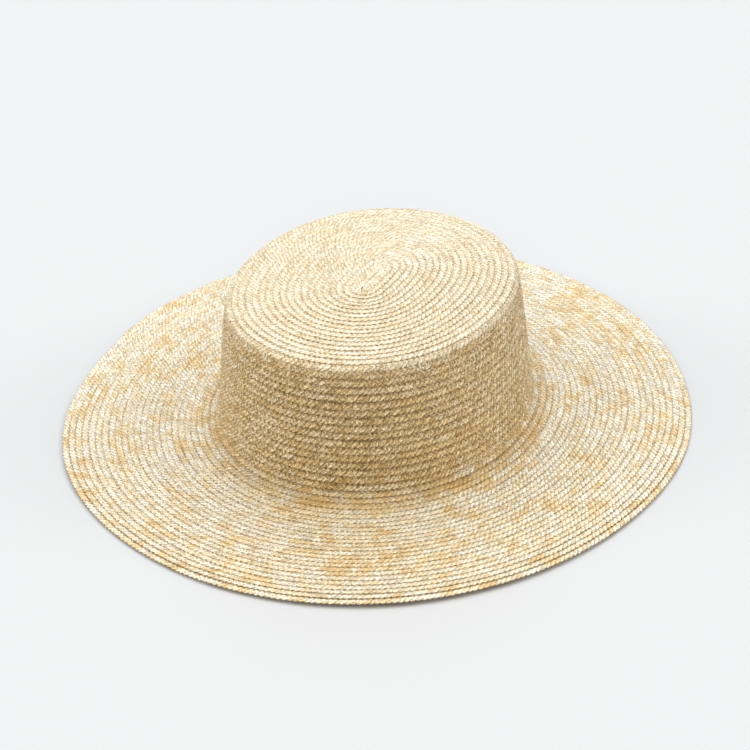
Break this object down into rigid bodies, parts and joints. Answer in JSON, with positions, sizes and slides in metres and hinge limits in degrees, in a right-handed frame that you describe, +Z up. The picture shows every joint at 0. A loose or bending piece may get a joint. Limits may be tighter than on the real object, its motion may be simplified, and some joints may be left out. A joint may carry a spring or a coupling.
{
  "type": "flat-top straw hat",
  "caption": "Wide-brimmed sun hat with a flat oval top, a nearly upright crown and a level brim, sewn from a spiral of narrow straw braid.",
  "frame": {"origin": "on the surface that the hat rests on, under the middle of its outline", "axes": "+Z up through the flat top, +Y from the front of the head to the back along the hat's longer side, +X across its shorter side"},
  "size_m": [0.357, 0.3694, 0.0891],
  "materials": {
    "straw_braid": "natural pale wheat straw braid, satin, mottled cream and tan"
  },
  "bodies": {
    "root": {"crown": "straw_braid", "brim": "straw_braid"}
  },
  "joints": []
}
